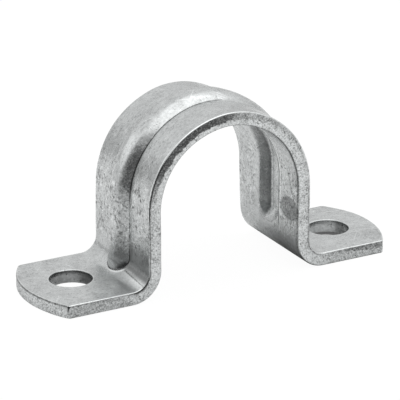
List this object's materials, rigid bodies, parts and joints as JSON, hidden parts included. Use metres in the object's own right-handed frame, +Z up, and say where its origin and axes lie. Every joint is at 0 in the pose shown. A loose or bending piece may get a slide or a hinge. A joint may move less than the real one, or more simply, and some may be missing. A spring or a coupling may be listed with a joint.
{
  "type": "omega clamp",
  "caption": "Omega-shaped saddle clamp of zinc-coated sheet steel with a stiffening bead; holds a pipe of about 33 mm outside diameter down on a flat base by a bolt in each foot.",
  "frame": {"origin": "middle of the base plane under the two feet, centred on the strip's width", "axes": "+X from foot to foot, +Y across the strip and along the pipe, +Z up from the base to the top of the arch"},
  "size_m": [0.0842, 0.0254, 0.0407],
  "materials": {
    "zinc_coated_steel": "dull zinc coating over pressed steel, mottled and lightly scuffed"
  },
  "bodies": {
    "root": {"omega_strap": "zinc_coated_steel"}
  },
  "joints": []
}
